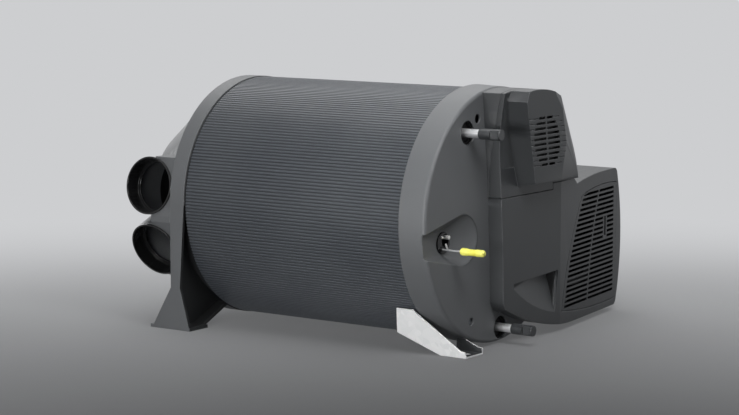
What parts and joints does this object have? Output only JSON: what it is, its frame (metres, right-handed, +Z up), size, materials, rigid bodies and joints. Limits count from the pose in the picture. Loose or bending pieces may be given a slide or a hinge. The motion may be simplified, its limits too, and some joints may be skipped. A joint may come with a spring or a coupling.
{
  "type": "caravan water heater",
  "caption": "Drum-shaped combined air and water heater for a caravan, with a ribbed jacket, arched foot cap, round warm-air outlets, moulded hood, fan lobe and capped pipes.",
  "frame": {"origin": "middle of the whole outline seen from above, on the floor", "axes": "+X along the drum's axis towards the hood, +Y towards the fan lobe, +Z up"},
  "size_m": [0.5105, 0.452, 0.3],
  "materials": {
    "ribbed_jacket": "satin",
    "grey_moulding": "matte",
    "black_moulding": "gloss",
    "hood_moulding": "matte",
    "galvanised_sheet": "galvanised",
    "zinc_screw": "plated",
    "stainless_tube": "drawn",
    "cast_aluminium": "cast",
    "cast_brass": "cast",
    "soft_rubber": "matte",
    "grey_cap": "satin",
    "yellow_cap": "satin",
    "black_inner": "matte",
    "board": "satin",
    "foam": "matte"
  },
  "bodies": {
    "heater": {"jacket": "ribbed_jacket", "left_end_cap": "grey_moulding", "air_distributor": "grey_moulding", "right_end_cap": "grey_moulding", "outlet_sleeve_front_upper": "black_moulding", "outlet_sleeve_front_lower": "black_moulding", "outlet_sleeve_rear_upper": "black_moulding", "outlet_sleeve_rear_lower": "black_moulding", "fuel_socket": "black_moulding", "hood_base": "hood_moulding", "hood_lower": "hood_moulding", "electronics_cover": "hood_moulding", "intake_grille": "hood_moulding", "fan_housing": "hood_moulding", "foot_bracket": "galvanised_sheet", "cap_screws": "zinc_screw", "hot_water_pipe": "stainless_tube", "cold_water_pipe": "stainless_tube", "fuel_pipe": "stainless_tube", "tank_shell": "stainless_tube", "tank_end": "stainless_tube", "flue_tube": "stainless_tube", "flame_tube": "stainless_tube", "heat_exchanger": "cast_aluminium", "burner_flange": "cast_aluminium", "blower_housing": "cast_aluminium", "fan_motor": "cast_aluminium", "blower_motor": "cast_aluminium", "glow_plug": "cast_aluminium", "cold_elbow": "cast_brass", "left_seal": "soft_rubber", "hot_grommet": "soft_rubber", "cold_grommet": "soft_rubber", "board_carrier": "black_inner", "board_components": "black_inner", "temperature_sensor": "black_inner", "overheat_switch": "black_inner", "circuit_board": "board", "insulation_upper": "foam", "insulation_lower": "foam"},
    "fan": {"fan_wheel": "black_inner"},
    "blower": {"blower_wheel": "black_inner"},
    "hot_cap": {"hot_pipe_cap": "grey_cap"},
    "cold_cap": {"cold_pipe_cap": "grey_cap"},
    "fuel_plug": {"fuel_cap": "yellow_cap"}
  },
  "joints": [
    {"name": "fan_spin", "type": "hinge", "parent": "heater", "child": "fan", "pos_m": [0.14975, 0.151, 0.093], "axis": [1, 0, 0], "continuous": true},
    {"name": "blower_spin", "type": "hinge", "parent": "heater", "child": "blower", "pos_m": [0.17375, -0.057, 0.147], "axis": [1, 0, 0], "continuous": true},
    {"name": "hot_cap_pull", "type": "slide", "parent": "heater", "child": "hot_cap", "axis": [1, 0, 0], "range_m": [0, 0.05]},
    {"name": "cold_cap_pull", "type": "slide", "parent": "heater", "child": "cold_cap", "axis": [1, 0, 0], "range_m": [0, 0.05]},
    {"name": "fuel_cap_pull", "type": "slide", "parent": "heater", "child": "fuel_plug", "axis": [1, 0, 0], "range_m": [0, 0.05]}
  ]
}
